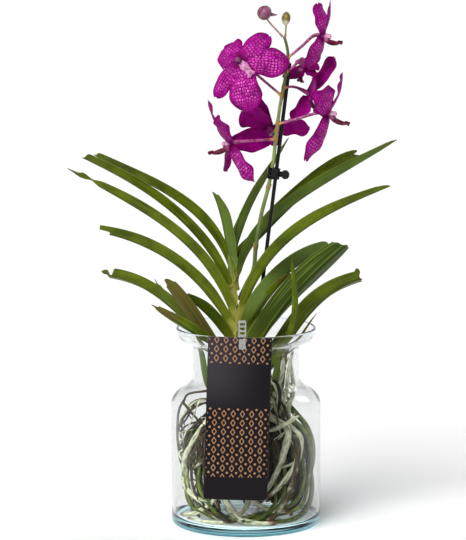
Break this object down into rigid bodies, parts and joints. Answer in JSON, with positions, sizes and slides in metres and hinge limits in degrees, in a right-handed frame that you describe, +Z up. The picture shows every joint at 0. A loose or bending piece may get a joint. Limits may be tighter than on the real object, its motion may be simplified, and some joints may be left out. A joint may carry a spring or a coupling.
{
  "type": "potted orchid",
  "caption": "Vanda orchid with bare roots, arching strap leaves and a spray of magenta blooms, staked and standing in a clear glass vase with a hanging card.",
  "frame": {"origin": "centre of the vase's underside", "axes": "+Z up; the card hangs at the front, which faces -Y; +X is right as seen from the front"},
  "size_m": [0.4165, 0.1915, 0.6665],
  "materials": {
    "clear_glass": "clear, faint blue-green tint",
    "stem_skin": "matt green stem",
    "stalk_skin": "satin green stalk",
    "stake_plastic": "semi-gloss black",
    "root_skin": "matt spongy root skin",
    "leaf_blade": "satin living leaf",
    "old_leaf": "matt dry leaf",
    "petal": "matt petal",
    "lip_petal": "matt petal",
    "flower_column": "matt petal",
    "pink_bud": "satin bud",
    "green_bud": "satin bud",
    "printed_card": "matt black card",
    "clear_plastic": "clear",
    "clip_plastic": "gloss black"
  },
  "bodies": {
    "plant_and_vase": {"vase": "clear_glass", "stem": "stem_skin", "spike": "stalk_skin", "stake": "stake_plastic", "roots": "root_skin", "leaf_left_1": "leaf_blade", "leaf_left_2": "leaf_blade", "leaf_left_3": "leaf_blade", "leaf_left_4": "leaf_blade", "leaf_left_5": "leaf_blade", "leaf_left_6": "leaf_blade", "leaf_left_7": "leaf_blade", "leaf_left_8": "leaf_blade", "leaf_left_9": "old_leaf", "leaf_left_10": "old_leaf", "leaf_right_1": "leaf_blade", "leaf_right_2": "leaf_blade", "leaf_right_3": "leaf_blade", "leaf_right_4": "leaf_blade", "leaf_right_5": "leaf_blade", "leaf_right_6": "leaf_blade", "leaf_right_7": "leaf_blade", "leaf_right_8": "leaf_blade", "leaf_right_9": "old_leaf", "leaf_right_10": "old_leaf", "bloom_a": "petal", "lip_a": "lip_petal", "column_a": "flower_column", "bloom_b": "petal", "lip_b": "lip_petal", "column_b": "flower_column", "bloom_c": "petal", "lip_c": "lip_petal", "column_c": "flower_column", "bloom_d": "petal", "lip_d": "lip_petal", "column_d": "flower_column", "bloom_e": "petal", "lip_e": "lip_petal", "column_e": "flower_column", "bloom_f": "petal", "lip_f": "lip_petal", "column_f": "flower_column", "bloom_g": "petal", "lip_g": "lip_petal", "column_g": "flower_column", "bud_1": "pink_bud", "bud_2": "green_bud", "tag": "printed_card", "hanger": "clear_plastic", "clip_back": "clip_plastic"},
    "clip_jaw": {"clip_front": "clip_plastic"}
  },
  "joints": [
    {"name": "clip_hinge", "type": "hinge", "parent": "plant_and_vase", "child": "clip_jaw", "pos_m": [0.04393, 0.00225, 0.44736], "axis": [0.1208, 0, 0.9927], "range_deg": [0, 25], "stiffness_Nm_per_rad": 0.01, "springref_deg": -11.46}
  ]
}
